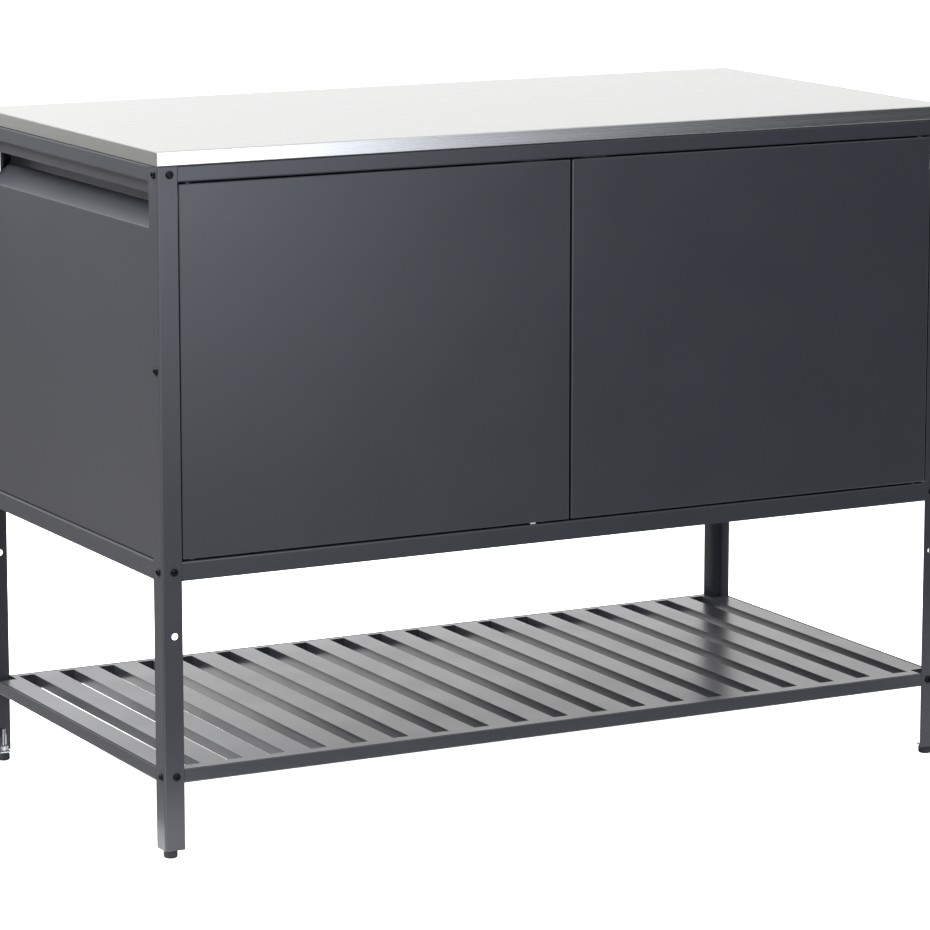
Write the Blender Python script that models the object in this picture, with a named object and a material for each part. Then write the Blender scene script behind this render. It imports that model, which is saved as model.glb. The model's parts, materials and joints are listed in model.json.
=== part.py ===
"""Outdoor work bench of folded sheet steel.

A stainless worktop stands on four angle posts.  Under it is a cabinet with two
flush doors, and near the ground a slatted shelf.  Metres, +Z up; the origin is
on the ground, under the middle of the bench, and the doors face -Y.
"""

import math

import bmesh
import bpy
from mathutils import Matrix, Vector

# ---- overall size ----------------------------------------------------------
WIDTH = 1.200
DEPTH = 0.600
HEIGHT = 0.925

# ---- sheet metal -----------------------------------------------------------
SHEET = 0.0012          # rails, panels, doors and shelf
POST_SHEET = 0.0020
BEND = 0.0010           # radius on the inside of a fold
BEND_STEPS = 3
EDGE_STEPS = 2          # segments of a rounded outer edge
HOLE_SIDES = 12
ROUND_SIDES = 24
SMOOTH_ANGLE = 40.0     # degrees; sharper edges stay sharp
CLEAR = 0.0003          # gap between pieces that touch
PLAY = 0.0006           # gap round a shaft in its hole, measured on the diameter

# ---- worktop ---------------------------------------------------------------
WORKTOP_EDGE = 0.0190
WORKTOP_LIP = 0.0120
WORKTOP_EDGE_RADIUS = 0.0012
STIFFENER_WIDTH = 0.060
STIFFENER_SPACING = 0.420
STIFFENER_FLANGE = 0.016

# ---- posts -----------------------------------------------------------------
POST_FLANGE = 0.0280
POST_BOTTOM = 0.0110
FRONT_SCREW_INSET = 0.0170
SIDE_SCREW_INSET = 0.0110
SCREW_HOLE = 0.0066
SPARE_HOLE = 0.0090
SPARE_HOLE_BELOW_CABINET = 0.0715
SIDE_SCREW_DROP = 0.2820    # middle screw of a side panel, below the worktop's top

# ---- rails -----------------------------------------------------------------
RAIL_FLANGE = 0.0250
TOP_RAIL_HEIGHT = 0.0212
CABINET_RAIL_HEIGHT = 0.0260
CABINET_BOTTOM = 0.3680
SHELF_RAIL_HEIGHT = 0.0180
SHELF_BOTTOM = 0.1005
TAB_GRIP = 0.018
TAB_CORNER_GAP = 0.005
TAB_MARGIN = 0.0035
HOOK_LIP_SETBACK = 0.0080
HOOK_LIP_DROP = 0.0160

# ---- side panels -----------------------------------------------------------
PANEL_RETURN = 0.0150
PANEL_END_GAP = 0.0060
RECESS_DEPTH = 0.0350
RECESS_INNER_DROP = 0.0750
RECESS_OUTER_DROP = 0.1000
RECESS_OVERLAP = 0.0025

# ---- doors and rear panels -------------------------------------------------
DOOR_DEPTH = 0.0160
DOOR_SIDE_GAP = 0.0015
DOOR_CENTRE_GAP = 0.0030
DOOR_TOP_GAP = 0.0020
DOOR_BOTTOM_GAP = 0.0025
DOOR_EDGE_RADIUS = 0.0015
REAR_PANEL_DEPTH = 0.0120
REAR_PANEL_GAP = 0.0010
REAR_STILE_WIDTH = 0.0500
PIVOT_INSET = 0.0150
PIN_DIAMETER = 0.0060
PIN_HEAD_DIAMETER = 0.0090
PIN_HEAD_HEIGHT = 0.0020
PIN_REACH = 0.0030
BUSH_DIAMETER = 0.0100
BUSH_COLLAR_DIAMETER = 0.0120
BUSH_COLLAR_HEIGHT = 0.0012
BUSH_REACH = 0.0015
CATCH_CENTRE = 0.0450
CATCH_SIZE = (0.044, 0.010, 0.012)
STRIKE_LENGTH = 0.036
STRIKE_THICKNESS = 0.0012
STRIKE_HEIGHT = 0.010
GLIDE_CENTRE = 0.0550
GLIDE_LENGTH = 0.0080
GLIDE_FROM_FACE = 0.0030
GLIDE_WIDTH = 0.0050

# ---- slatted shelf ---------------------------------------------------------
SHELF_INSET = 0.0039
SLOT_WIDTH = 0.0230
SLOT_PITCH = 0.06115
SLOT_END_MARGIN = 0.0300
SLOT_FRONT_MARGIN = 0.0225
SLOT_REAR_MARGIN = 0.0120
SLOT_FOLD_DEPTH = 0.0140

# ---- cabinet floor ---------------------------------------------------------
FLOOR_STIFFENER_WIDTH = 0.080
FLOOR_STIFFENER_HEIGHT = 0.016

# ---- levelling feet --------------------------------------------------------
FOOT_DIAMETER = 0.0190
FOOT_GAP = 0.0005          # between the foot and the inner faces of its post
FOOT_HEIGHT = 0.0112
FOOT_CHAMFER = 0.0030
STUD_DIAMETER = 0.0080
STUD_TOP = 0.0450
FOOT_PLATE_THICKNESS = 0.0020
FOOT_PLATE_TAB_TOP = 0.0340
FOOT_PLATE_TAB_SHEET = 0.0012
NUT_ACROSS_FLATS = 0.0130
NUT_HEIGHT = 0.0065

# ---- derived levels and lines ----------------------------------------------
HALF_WIDTH = WIDTH / 2
HALF_DEPTH = DEPTH / 2
FRAME_TOP = HEIGHT - WORKTOP_EDGE - CLEAR
TOP_RAIL_BOTTOM = FRAME_TOP - TOP_RAIL_HEIGHT
CABINET_RAIL_TOP = CABINET_BOTTOM + CABINET_RAIL_HEIGHT
SHELF_TOP = SHELF_BOTTOM + SHELF_RAIL_HEIGHT
BEHIND_POST = POST_SHEET + CLEAR
CABINET_LINE = BEHIND_POST + PANEL_RETURN + CLEAR
DOOR_TOP = TOP_RAIL_BOTTOM - DOOR_TOP_GAP
DOOR_BOTTOM = CABINET_RAIL_TOP + DOOR_BOTTOM_GAP
DOOR_OUTER = HALF_WIDTH - POST_FLANGE - DOOR_SIDE_GAP
DOOR_INNER = DOOR_CENTRE_GAP / 2
PIVOT_X = DOOR_OUTER - PIVOT_INSET
PIVOT_Y = DOOR_DEPTH / 2
STRIKE_FRONT = DOOR_DEPTH + CLEAR
STRIKE_BACK = STRIKE_FRONT + STRIKE_THICKNESS
FOOT_PLATE_INSET = POST_SHEET + BEND
NUT_RADIUS = NUT_ACROSS_FLATS / math.sqrt(3)
# The foot clears the post's faces, and its lock nut the tabs of the foot plate.
FOOT_INSET = max(
    POST_SHEET + FOOT_GAP + FOOT_DIAMETER / 2,
    BEHIND_POST + FOOT_PLATE_TAB_SHEET + CLEAR + NUT_RADIUS)
FOOT_PLATE_FAR = 2 * FOOT_INSET - FOOT_PLATE_INSET    # so the stud is in its middle
FOOT_PLATE_BOTTOM = FOOT_HEIGHT + CLEAR
FOOT_PLATE_TOP = FOOT_PLATE_BOTTOM + FOOT_PLATE_THICKNESS

TOP_SCREW = (FRAME_TOP + TOP_RAIL_BOTTOM) / 2
CABINET_SCREW = (CABINET_BOTTOM + CABINET_RAIL_TOP) / 2
SHELF_SCREW = (SHELF_BOTTOM + SHELF_TOP) / 2
SIDE_SCREW = HEIGHT - SIDE_SCREW_DROP
SPARE_HOLE_LEVEL = CABINET_BOTTOM - SPARE_HOLE_BELOW_CABINET

# Side of the bench: turn of its local frame, half length, half distance to it.
# In the local frame x runs along the side, y points into the bench.
SIDES = {
    "front": (0.0, HALF_WIDTH, HALF_DEPTH, FRONT_SCREW_INSET),
    "rear": (math.pi, HALF_WIDTH, HALF_DEPTH, FRONT_SCREW_INSET),
    "left": (-math.pi / 2, HALF_DEPTH, HALF_WIDTH, SIDE_SCREW_INSET),
    "right": (math.pi / 2, HALF_DEPTH, HALF_WIDTH, SIDE_SCREW_INSET),
}
# Corner of the bench: signs of x and y.
CORNERS = {
    "front_left": (-1, -1),
    "front_right": (1, -1),
    "rear_left": (-1, 1),
    "rear_right": (1, 1),
}
HANDS = {"left": -1, "right": 1}

# Finish: base colour (linear), roughness, metallic.
FINISHES = {
    "brushed_stainless": ((0.62, 0.62, 0.61), 0.28, 1.0),
    "powder_coated_steel": ((0.045, 0.046, 0.050), 0.42, 0.0),
    "zinc_plated_steel": ((0.50, 0.51, 0.52), 0.35, 1.0),
    "black_rubber": ((0.012, 0.012, 0.013), 0.70, 0.0),
    "white_nylon": ((0.75, 0.75, 0.72), 0.45, 0.0),
    "black_nylon": ((0.02, 0.02, 0.022), 0.45, 0.0),
}


# ---- helpers ---------------------------------------------------------------
def clear_scene():
    """Remove every object of the start-up scene."""
    for item in list(bpy.data.objects):
        bpy.data.objects.remove(item, do_unlink=True)


def new_material(name, finish):
    """Make the piece's own Principled BSDF material."""
    colour, roughness, metallic = FINISHES[finish]
    material = bpy.data.materials.new(name + "_" + finish)
    material.use_nodes = True
    shader = material.node_tree.nodes["Principled BSDF"]
    shader.inputs["Base Color"].default_value = (*colour, 1.0)
    shader.inputs["Roughness"].default_value = roughness
    shader.inputs["Metallic"].default_value = metallic
    material.diffuse_color = (*colour, 1.0)
    return material


def add_piece(name, mesh_builder, finish=None, location=(0, 0, 0), turn=0.0, smooth=False):
    """Turn a bmesh into an object, placed by its location and its turn about Z."""
    bmesh.ops.recalc_face_normals(mesh_builder, faces=mesh_builder.faces)
    mesh = bpy.data.meshes.new(name)
    mesh_builder.to_mesh(mesh)
    mesh_builder.free()
    piece = bpy.data.objects.new(name, mesh)
    bpy.context.scene.collection.objects.link(piece)
    piece.location = location
    piece.rotation_euler = (0.0, 0.0, turn)
    if finish:
        mesh.materials.append(new_material(name, finish))
    if smooth:
        mesh.shade_smooth()
        mesh.set_sharp_from_angle(angle=math.radians(SMOOTH_ANGLE))
    return piece


def add_box(mesh_builder, low, high):
    """Add a box between two corners."""
    low = Vector(low)
    high = Vector(high)
    size = high - low
    matrix = Matrix.Translation((low + high) / 2) @ Matrix.Diagonal((*size, 1.0))
    bmesh.ops.create_cube(mesh_builder, size=1.0, matrix=matrix)


def box_piece(name, low, high, finish=None, **place):
    """Make a plain box."""
    mesh_builder = bmesh.new()
    add_box(mesh_builder, low, high)
    return add_piece(name, mesh_builder, finish, **place)


def boxes_piece(name, boxes, **place):
    """Make one object of several boxes that do not touch each other."""
    mesh_builder = bmesh.new()
    for low, high in boxes:
        add_box(mesh_builder, low, high)
    return add_piece(name, mesh_builder, **place)


def drills(name, holes, **place):
    """Make round cutters.  A hole is its middle, axis, diameter and length.

    The diameter is measured across the flats, so a round shaft keeps its play.
    """
    turns = {"x": Matrix.Rotation(math.pi / 2, 4, "Y"),
             "y": Matrix.Rotation(math.pi / 2, 4, "X"),
             "z": Matrix.Identity(4)}
    mesh_builder = bmesh.new()
    for middle, axis, diameter, length in holes:
        radius = diameter / 2 / math.cos(math.pi / HOLE_SIDES)
        bmesh.ops.create_cone(
            mesh_builder, cap_ends=True, segments=HOLE_SIDES, depth=length,
            radius1=radius, radius2=radius,
            matrix=Matrix.Translation(middle) @ turns[axis])
    return add_piece(name, mesh_builder, **place)


def combine(piece, tool, operation):
    """Cut the tool out of the piece, or join it on, and remove the tool."""
    modifier = piece.modifiers.new(operation.lower(), "BOOLEAN")
    modifier.operation = operation
    modifier.solver = "EXACT"
    modifier.object = tool
    bpy.context.view_layer.update()
    with bpy.context.temp_override(object=piece, active_object=piece):
        bpy.ops.object.modifier_apply(modifier=modifier.name)
    bpy.data.objects.remove(tool, do_unlink=True)
    return piece


def offset_line(points, distance):
    """Move an open line to its left by a distance, keeping its corners square."""
    steps = [(after - before).normalized() for before, after in zip(points, points[1:])]
    normals = [Vector((-step.y, step.x)) for step in steps]
    moved = [points[0] + normals[0] * distance]
    for point, first, second in zip(points[1:], normals, normals[1:]):
        moved.append(point + (first + second) * distance / (1 + first.dot(second)))
    moved.append(points[-1] + normals[-1] * distance)
    return moved


def round_corners(points, radius_left, radius_right):
    """Replace the corners of an open line by arcs; left and right turns differ."""
    line = [points[0]]
    for before, corner, after in zip(points, points[1:], points[2:]):
        back = (before - corner).normalized()
        ahead = (after - corner).normalized()
        half = back.angle(ahead) / 2
        left_turn = (corner - before).cross(after - corner) > 0
        radius = radius_left if left_turn else radius_right
        centre = corner + (back + ahead).normalized() * radius / math.sin(half)
        spoke = corner + back * radius / math.tan(half) - centre
        sweep = (math.pi - 2 * half) * (1 if left_turn else -1)
        for step in range(BEND_STEPS + 1):
            line.append(centre + Matrix.Rotation(sweep * step / BEND_STEPS, 2) @ spoke)
    line.append(points[-1])
    return line


def sheet_outline(points, sheet):
    """Closed outline of a folded sheet: the line given, and one sheet to its left."""
    points = [Vector(point) for point in points]
    face = round_corners(points, BEND + sheet, BEND)
    back = round_corners(offset_line(points, sheet), BEND, BEND + sheet)
    return face + back[::-1]


def extruded(name, outline, axis, start, end, finish=None, **place):
    """Extrude a closed outline along an axis; the outline lies in the other two."""
    spots = {"x": lambda u, v: (start, u, v),
             "y": lambda u, v: (u, start, v),
             "z": lambda u, v: (u, v, start)}
    along = Vector((axis == "x", axis == "y", axis == "z")) * (end - start)
    mesh_builder = bmesh.new()
    corners = [mesh_builder.verts.new(spots[axis](*point)) for point in outline]
    face = mesh_builder.faces.new(corners)
    copy = bmesh.ops.extrude_face_region(mesh_builder, geom=[face])["geom"]
    moved = [item for item in copy if isinstance(item, bmesh.types.BMVert)]
    bmesh.ops.translate(mesh_builder, vec=along, verts=moved)
    return add_piece(name, mesh_builder, finish, **place)


def turned(name, outline, finish, location, closed=False):
    """Turn an outline of (radius, height) points about the vertical axis.

    An open outline starts and ends with a flat cap; a closed one makes a ring.
    """
    mesh_builder = bmesh.new()
    rings = []
    for radius, height in outline:
        ring = bmesh.ops.create_circle(
            mesh_builder, cap_ends=False, radius=radius, segments=ROUND_SIDES,
            matrix=Matrix.Translation((0, 0, height)))["verts"]
        rings.append(ring)
    pairs = list(zip(rings, rings[1:]))
    if closed:
        pairs.append((rings[-1], rings[0]))
    else:
        mesh_builder.faces.new(rings[0])
        mesh_builder.faces.new(rings[-1])
    for lower, upper in pairs:
        for index in range(ROUND_SIDES):
            after = (index + 1) % ROUND_SIDES
            mesh_builder.faces.new(
                (lower[index], lower[after], upper[after], upper[index]))
    return add_piece(name, mesh_builder, finish, location=location, smooth=True)


def side_place(side):
    """Location and turn of the local frame of one side of the bench."""
    turn, _, reach, _ = SIDES[side]
    inward = Matrix.Rotation(turn, 3, "Z") @ Vector((0, 1, 0))
    return {"location": inward * -reach, "turn": turn}


def from_corner(corner, inset_x, inset_y):
    """Point at two insets from the outer faces of one corner of the bench."""
    sign_x, sign_y = CORNERS[corner]
    return sign_x * (HALF_WIDTH - inset_x), sign_y * (HALF_DEPTH - inset_y)


# ---- worktop ---------------------------------------------------------------
def make_worktop():
    """Pan of stainless sheet: a flat top, four turned-down edges, a turned-in lip."""
    mesh_builder = bmesh.new()
    bottom = HEIGHT - WORKTOP_EDGE
    add_box(mesh_builder, (-HALF_WIDTH, -HALF_DEPTH, bottom), (HALF_WIDTH, HALF_DEPTH, HEIGHT))
    bmesh.ops.bevel(
        mesh_builder, geom=mesh_builder.edges[:], offset=WORKTOP_EDGE_RADIUS,
        segments=EDGE_STEPS, profile=0.5, affect="EDGES")
    worktop = add_piece("worktop", mesh_builder, "brushed_stainless")
    mouth_x = HALF_WIDTH - WORKTOP_LIP
    mouth_y = HALF_DEPTH - WORKTOP_LIP
    mouth = box_piece(
        "mouth", (-mouth_x, -mouth_y, bottom - SHEET), (mouth_x, mouth_y, bottom + 2 * SHEET))
    combine(worktop, mouth, "DIFFERENCE")
    inner_x = HALF_WIDTH - SHEET
    inner_y = HALF_DEPTH - SHEET
    hollow = box_piece(
        "hollow", (-inner_x, -inner_y, bottom + SHEET), (inner_x, inner_y, HEIGHT - SHEET))
    combine(worktop, hollow, "DIFFERENCE")


def make_worktop_stiffeners():
    """Two hat sections under the worktop, from its front edge to its rear edge."""
    low = HEIGHT - WORKTOP_EDGE + SHEET + CLEAR
    high = HEIGHT - SHEET - CLEAR
    half = STIFFENER_WIDTH / 2
    foot = half + STIFFENER_FLANGE
    hat = sheet_outline(
        [(foot, low + SHEET), (half, low + SHEET), (half, high), (-half, high),
         (-half, low + SHEET), (-foot, low + SHEET)], SHEET)
    reach = HALF_DEPTH - SHEET - CLEAR
    for hand, sign in HANDS.items():
        extruded(
            f"worktop_stiffener_{hand}", hat, "y", -reach, reach, "zinc_plated_steel",
            location=(sign * STIFFENER_SPACING / 2, 0, 0))


# ---- posts -----------------------------------------------------------------
def make_posts():
    """Four angle posts with the holes that the rails and side panels screw to."""
    rail_levels = (TOP_SCREW, CABINET_SCREW, SHELF_SCREW)
    for corner, (sign_x, sign_y) in CORNERS.items():
        points = [(sign_x * (HALF_WIDTH - POST_FLANGE), sign_y * HALF_DEPTH),
                  (sign_x * HALF_WIDTH, sign_y * HALF_DEPTH),
                  (sign_x * HALF_WIDTH, sign_y * (HALF_DEPTH - POST_FLANGE))]
        if sign_x * sign_y > 0:
            points.reverse()
        post = extruded(
            f"post_{corner}", sheet_outline(points, POST_SHEET), "z",
            POST_BOTTOM, FRAME_TOP, "powder_coated_steel")
        front_x, front_y = from_corner(corner, FRONT_SCREW_INSET, POST_SHEET / 2)
        side_x, side_y = from_corner(corner, POST_SHEET / 2, SIDE_SCREW_INSET)
        long = 2 * POST_SHEET
        holes = [((front_x, front_y, level), "y", SCREW_HOLE, long) for level in rail_levels]
        holes += [((side_x, side_y, level), "x", SCREW_HOLE, long)
                  for level in (*rail_levels, SIDE_SCREW)]
        holes.append(((front_x, front_y, SPARE_HOLE_LEVEL), "y", SPARE_HOLE, long))
        combine(post, drills("post_drills", holes), "DIFFERENCE")


# ---- rails -----------------------------------------------------------------
def make_rail(name, side, section, low, high, pivot_level=None):
    """Rail between two posts, with a tab behind each post flange for its screw."""
    _, half, _, screw_inset = SIDES[side]
    place = side_place(side)
    end = half - POST_FLANGE - CLEAR
    rail = extruded(
        name, sheet_outline(section, SHEET), "x", -end, end, "powder_coated_steel", **place)
    tip = half - TAB_CORNER_GAP
    back = BEHIND_POST + SHEET
    tab = [(end - TAB_GRIP, SHEET / 2), (end - CLEAR, SHEET / 2), (end - CLEAR, BEHIND_POST),
           (tip, BEHIND_POST), (tip, back), (end - TAB_GRIP, back)]
    mirrored = [(-along, inward) for along, inward in tab]
    for outline in (tab, mirrored):
        tool = extruded("tab", outline, "z", low + TAB_MARGIN, high - TAB_MARGIN, **place)
        combine(rail, tool, "UNION")
    middle = (low + high) / 2
    screw = half - screw_inset
    holes = [((sign * screw, back - SHEET / 2, middle), "y", SCREW_HOLE, 2 * SHEET)
             for sign in (-1, 1)]
    if pivot_level:
        holes += [((sign * PIVOT_X, PIVOT_Y, pivot_level), "z", BUSH_DIAMETER + PLAY, 2 * SHEET)
                  for sign in (-1, 1)]
    combine(rail, drills("rail_drills", holes, **place), "DIFFERENCE")


def channel(low, high):
    """Corner points of a channel that opens into the bench."""
    return [(RAIL_FLANGE, high), (0, high), (0, low), (RAIL_FLANGE, low)]


def make_rails():
    """Top rails, cabinet rails and shelf rails, one of each on every side."""
    hook_section = [
        (RAIL_FLANGE, FRAME_TOP), (0, FRAME_TOP), (0, TOP_RAIL_BOTTOM),
        (HOOK_LIP_SETBACK, TOP_RAIL_BOTTOM),
        (HOOK_LIP_SETBACK, TOP_RAIL_BOTTOM - HOOK_LIP_DROP)]
    angle = [(0, SHELF_TOP), (0, SHELF_BOTTOM), (RAIL_FLANGE, SHELF_BOTTOM)]
    for side in SIDES:
        front = side == "front"
        across = side in HANDS
        make_rail(
            f"top_rail_{side}", side,
            hook_section if across else channel(TOP_RAIL_BOTTOM, FRAME_TOP),
            TOP_RAIL_BOTTOM, FRAME_TOP,
            pivot_level=TOP_RAIL_BOTTOM + SHEET / 2 if front else None)
        make_rail(
            f"cabinet_rail_{side}", side, channel(CABINET_BOTTOM, CABINET_RAIL_TOP),
            CABINET_BOTTOM, CABINET_RAIL_TOP,
            pivot_level=CABINET_RAIL_TOP - SHEET / 2 if front else None)
        make_rail(f"shelf_rail_{side}", side, angle, SHELF_BOTTOM, SHELF_TOP)


# ---- panels ----------------------------------------------------------------
def make_side_panels():
    """Side panels, stepped in under the top rail to leave room for hooks."""
    bottom = CABINET_RAIL_TOP + CLEAR
    ledge_outer = HEIGHT - RECESS_OUTER_DROP
    ledge_inner = HEIGHT - RECESS_INNER_DROP
    section = [
        (RECESS_DEPTH + PANEL_RETURN, FRAME_TOP), (RECESS_DEPTH, FRAME_TOP),
        (RECESS_DEPTH, ledge_inner), (BEHIND_POST, ledge_outer),
        (BEHIND_POST, bottom), (BEHIND_POST + PANEL_RETURN, bottom)]
    half = HALF_DEPTH - PANEL_END_GAP
    recess_half = HALF_DEPTH - POST_FLANGE + RECESS_OVERLAP
    beyond = RECESS_DEPTH + 2 * PANEL_RETURN
    below_ledge = ledge_outer - 4 * SHEET
    corner_cuts = [((-HALF_DEPTH, -SHEET, below_ledge), (-recess_half, beyond, HEIGHT)),
                   ((recess_half, -SHEET, below_ledge), (HALF_DEPTH, beyond, HEIGHT))]
    screw = HALF_DEPTH - SIDE_SCREW_INSET
    holes = [((sign * screw, BEHIND_POST + SHEET / 2, SIDE_SCREW), "y", SCREW_HOLE, 2 * SHEET)
             for sign in (-1, 1)]
    for side in HANDS:
        place = side_place(side)
        panel = extruded(
            f"side_panel_{side}", sheet_outline(section, SHEET), "x", -half, half,
            "powder_coated_steel", **place)
        combine(panel, boxes_piece("corner_cuts", corner_cuts, **place), "DIFFERENCE")
        combine(panel, drills("panel_drills", holes, **place), "DIFFERENCE")


def make_pan(name, span, depth, levels, place):
    """Shallow pan of folded sheet, open to the inside of the bench."""
    left, right = span
    low, high = levels
    mesh_builder = bmesh.new()
    add_box(mesh_builder, (left, 0, low), (right, depth, high))
    front_edges = [edge for edge in mesh_builder.edges
                   if min(vert.co.y for vert in edge.verts) < depth / 2]
    bmesh.ops.bevel(
        mesh_builder, geom=front_edges, offset=DOOR_EDGE_RADIUS, segments=EDGE_STEPS,
        profile=0.5, affect="EDGES")
    pan = add_piece(name, mesh_builder, "powder_coated_steel", **place)
    hollow = box_piece(
        "hollow", (left + SHEET, SHEET, low + SHEET), (right - SHEET, depth + SHEET, high - SHEET),
        **place)
    return combine(pan, hollow, "DIFFERENCE")


def make_rear_panels():
    """Two fixed rear panels and the stile that they meet on."""
    place = side_place("rear")
    levels = (CABINET_RAIL_TOP + REAR_PANEL_GAP, TOP_RAIL_BOTTOM - REAR_PANEL_GAP)
    outer = HALF_WIDTH - POST_FLANGE - REAR_PANEL_GAP
    inner = REAR_PANEL_GAP / 2
    make_pan("rear_panel_left", (inner, outer), REAR_PANEL_DEPTH, levels, place)
    make_pan("rear_panel_right", (-outer, -inner), REAR_PANEL_DEPTH, levels, place)
    half = REAR_STILE_WIDTH / 2
    face = REAR_PANEL_DEPTH + CLEAR
    edge = CABINET_LINE - CLEAR
    section = [(-half, edge), (-half, face), (half, face), (half, edge)]
    extruded(
        "rear_stile", sheet_outline(section, SHEET), "z",
        CABINET_RAIL_TOP + CLEAR, TOP_RAIL_BOTTOM - CLEAR, "powder_coated_steel", **place)


def make_cabinet_floor():
    """Flat cabinet floor on the cabinet rails, with a hat section under it."""
    reach_x = HALF_WIDTH - CABINET_LINE
    reach_y = HALF_DEPTH - CABINET_LINE
    low = CABINET_RAIL_TOP + CLEAR
    box_piece(
        "cabinet_floor", (-reach_x, -reach_y, low), (reach_x, reach_y, low + SHEET),
        "powder_coated_steel")
    half = FLOOR_STIFFENER_WIDTH / 2
    top = low - CLEAR
    bottom = top - FLOOR_STIFFENER_HEIGHT
    section = [(-half, bottom), (-half, top), (half, top), (half, bottom)]
    outline = sheet_outline(section[::-1], SHEET)
    reach = HALF_WIDTH - RAIL_FLANGE - CLEAR
    extruded("floor_stiffener", outline, "x", -reach, reach, "zinc_plated_steel")


# ---- doors -----------------------------------------------------------------
def make_door(hand, sign):
    """One door: outer skin, inner liner, two pivot pins and a strike plate.

    The door hangs on an empty that stands on its pivot axis.
    """
    axis = bpy.data.objects.new(f"door_axis_{hand}", None)
    bpy.context.scene.collection.objects.link(axis)
    axis.location = (sign * PIVOT_X, -HALF_DEPTH + PIVOT_Y, 0)
    span = sorted((sign * (DOOR_OUTER - PIVOT_X), sign * (DOOR_INNER - PIVOT_X)))
    place = {"location": (0, -PIVOT_Y, 0)}
    skin = make_pan(f"door_skin_{hand}", span, DOOR_DEPTH, (DOOR_BOTTOM, DOOR_TOP), place)
    pin_hole = PIN_DIAMETER + PLAY
    holes = [((0, PIVOT_Y, level), "z", pin_hole, 4 * SHEET) for level in (DOOR_BOTTOM, DOOR_TOP)]
    combine(skin, drills("door_drills", holes, **place), "DIFFERENCE")
    inside = SHEET + CLEAR
    liner = box_piece(
        f"door_liner_{hand}",
        (span[0] + inside, DOOR_DEPTH - CLEAR - SHEET, DOOR_BOTTOM + inside),
        (span[1] - inside, DOOR_DEPTH - CLEAR, DOOR_TOP - inside),
        "powder_coated_steel", **place)
    strike_x = sign * (CATCH_CENTRE - PIVOT_X)
    strike_top = DOOR_TOP - 2 * CLEAR
    half = STRIKE_LENGTH / 2
    strike = box_piece(
        f"strike_plate_{hand}", (strike_x - half, STRIKE_FRONT, strike_top - STRIKE_HEIGHT),
        (strike_x + half, STRIKE_BACK, strike_top), "zinc_plated_steel", **place)
    pieces = [skin, liner, strike]
    pieces += make_pivot_pins(hand)
    for piece in pieces:
        piece.parent = axis


def make_pivot_pins(hand):
    """Pivot pins of one door, heads inside the skin, as (radius, height) outlines."""
    head = PIN_HEAD_DIAMETER / 2
    shaft = PIN_DIAMETER / 2
    top_seat = DOOR_TOP - SHEET - CLEAR
    top_end = TOP_RAIL_BOTTOM + SHEET + PIN_REACH
    upper = [(head, top_seat - PIN_HEAD_HEIGHT), (head, top_seat), (shaft, top_seat),
             (shaft, top_end)]
    low_seat = DOOR_BOTTOM + SHEET + CLEAR
    low_end = CABINET_RAIL_TOP - SHEET - PIN_REACH
    lower = [(shaft, low_end), (shaft, low_seat), (head, low_seat),
             (head, low_seat + PIN_HEAD_HEIGHT)]
    return [turned(f"pivot_pin_upper_{hand}", upper, "zinc_plated_steel", (0, 0, 0)),
            turned(f"pivot_pin_lower_{hand}", lower, "zinc_plated_steel", (0, 0, 0))]


def make_bushes(hand, sign):
    """Nylon bushes in the rails that the door's pins turn in."""
    bore = (PIN_DIAMETER + PLAY) / 2
    body = BUSH_DIAMETER / 2
    collar = BUSH_COLLAR_DIAMETER / 2
    spot = (sign * PIVOT_X, -HALF_DEPTH + PIVOT_Y, 0)
    for level, up, name in ((TOP_RAIL_BOTTOM, 1, "upper"), (CABINET_RAIL_TOP, -1, "lower")):
        seat = level - up * CLEAR
        collar_end = seat - up * BUSH_COLLAR_HEIGHT
        far_end = level + up * (SHEET + BUSH_REACH)
        outline = [(bore, collar_end), (collar, collar_end), (collar, seat), (body, seat),
                   (body, far_end), (bore, far_end)]
        turned(f"pivot_bush_{name}_{hand}", outline, "black_nylon", spot, closed=True)


def make_catch(hand, sign):
    """Magnetic catch under the top rail."""
    length, depth, height = CATCH_SIZE
    middle = sign * CATCH_CENTRE
    front = -HALF_DEPTH + STRIKE_BACK + CLEAR
    top = TOP_RAIL_BOTTOM - CLEAR
    box_piece(
        f"magnet_catch_{hand}", (middle - length / 2, front, top - height),
        (middle + length / 2, front + depth, top), "white_nylon")


def make_glide():
    """Glide on the rail that carries the free end of the left door."""
    middle = HANDS["left"] * GLIDE_CENTRE
    near = -HALF_DEPTH + GLIDE_FROM_FACE
    box_piece(
        "door_glide", (middle - GLIDE_LENGTH / 2, near, CABINET_RAIL_TOP + CLEAR),
        (middle + GLIDE_LENGTH / 2, near + GLIDE_WIDTH, DOOR_BOTTOM - CLEAR), "white_nylon")


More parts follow.
